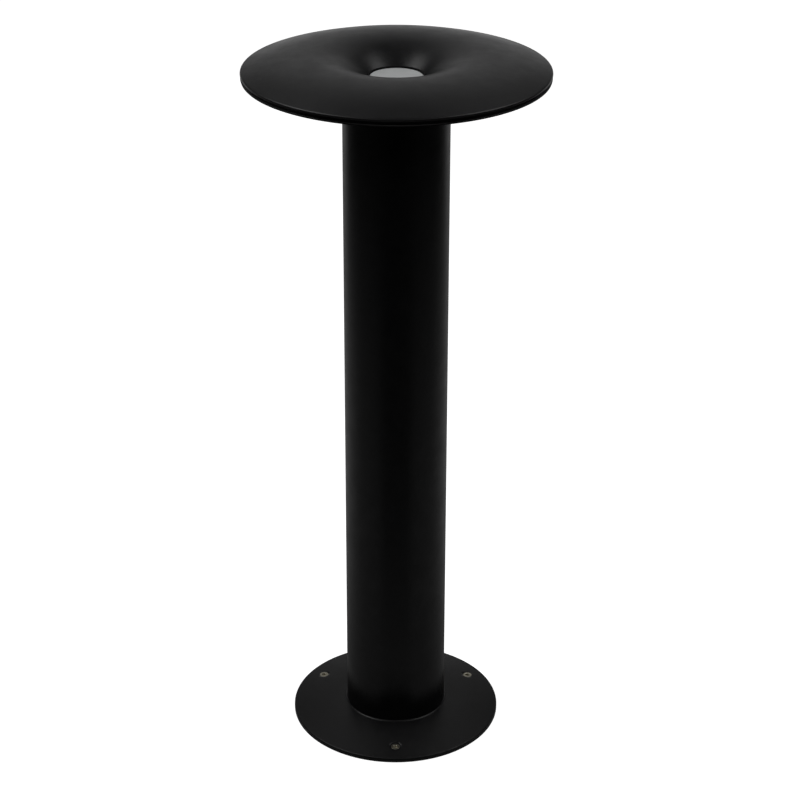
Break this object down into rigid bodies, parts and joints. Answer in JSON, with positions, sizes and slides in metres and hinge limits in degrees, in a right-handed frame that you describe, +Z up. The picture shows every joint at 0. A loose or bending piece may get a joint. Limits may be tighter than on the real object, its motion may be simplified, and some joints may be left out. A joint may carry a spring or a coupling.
{
  "type": "bollard luminaire",
  "caption": "Outdoor bollard luminaire: cushion-shaped round head with a lens in its funnel, on a round post with a screwed base flange.",
  "frame": {"origin": "centre of the base flange's underside, at ground level, on the post's axis", "axes": "+Z up along the post towards the head; one flange screw lies on -Y, which is the front"},
  "size_m": [0.285, 0.285, 0.7],
  "materials": {
    "black_coat": "matte",
    "stainless": "satin",
    "zinc_steel": "satin",
    "bare_aluminium": "satin",
    "frosted_glass": "satin",
    "silicone": "matte",
    "white_plastic": "satin",
    "black_plastic": "satin",
    "board": "satin",
    "phosphor": "satin",
    "brass": "satin",
    "lead_sheath": "matte"
  },
  "bodies": {
    "root": {"base_flange": "black_coat", "post_tube": "black_coat", "head_shell": "black_coat", "head_underplate": "black_coat", "flange_screw_1": "stainless", "flange_screw_2": "stainless", "flange_screw_3": "stainless", "anchor_ring": "zinc_steel", "gear_tray": "zinc_steel", "tray_screw_1": "zinc_steel", "tray_screw_2": "zinc_steel", "driver_screw_1": "zinc_steel", "driver_screw_2": "zinc_steel", "terminal_screw": "zinc_steel", "earth_stud": "zinc_steel", "earth_washer": "zinc_steel", "head_screw_1": "zinc_steel", "head_screw_2": "zinc_steel", "head_screw_3": "zinc_steel", "head_washer_1": "zinc_steel", "head_washer_2": "zinc_steel", "head_washer_3": "zinc_steel", "housing_screw_1": "zinc_steel", "housing_screw_2": "zinc_steel", "housing_screw_3": "zinc_steel", "board_screw_1": "zinc_steel", "board_screw_2": "zinc_steel", "sink_screw_1": "zinc_steel", "sink_screw_2": "zinc_steel", "post_top_ring": "bare_aluminium", "head_core": "bare_aluminium", "led_housing": "bare_aluminium", "heat_sink": "bare_aluminium", "lens": "frosted_glass", "lens_gasket_upper": "silicone", "lens_gasket_lower": "silicone", "thermal_pad": "silicone", "gland_seal": "silicone", "lead_grommet": "silicone", "driver": "white_plastic", "terminal_block": "white_plastic", "reflector": "white_plastic", "gland_body": "black_plastic", "gland_cap": "black_plastic", "gland_locknut": "black_plastic", "lead_clip_1": "black_plastic", "lead_clip_2": "black_plastic", "led_board": "board", "led_chip": "phosphor", "earth_nut": "brass", "mains_lead": "lead_sheath", "led_lead": "lead_sheath"}
  },
  "joints": []
}
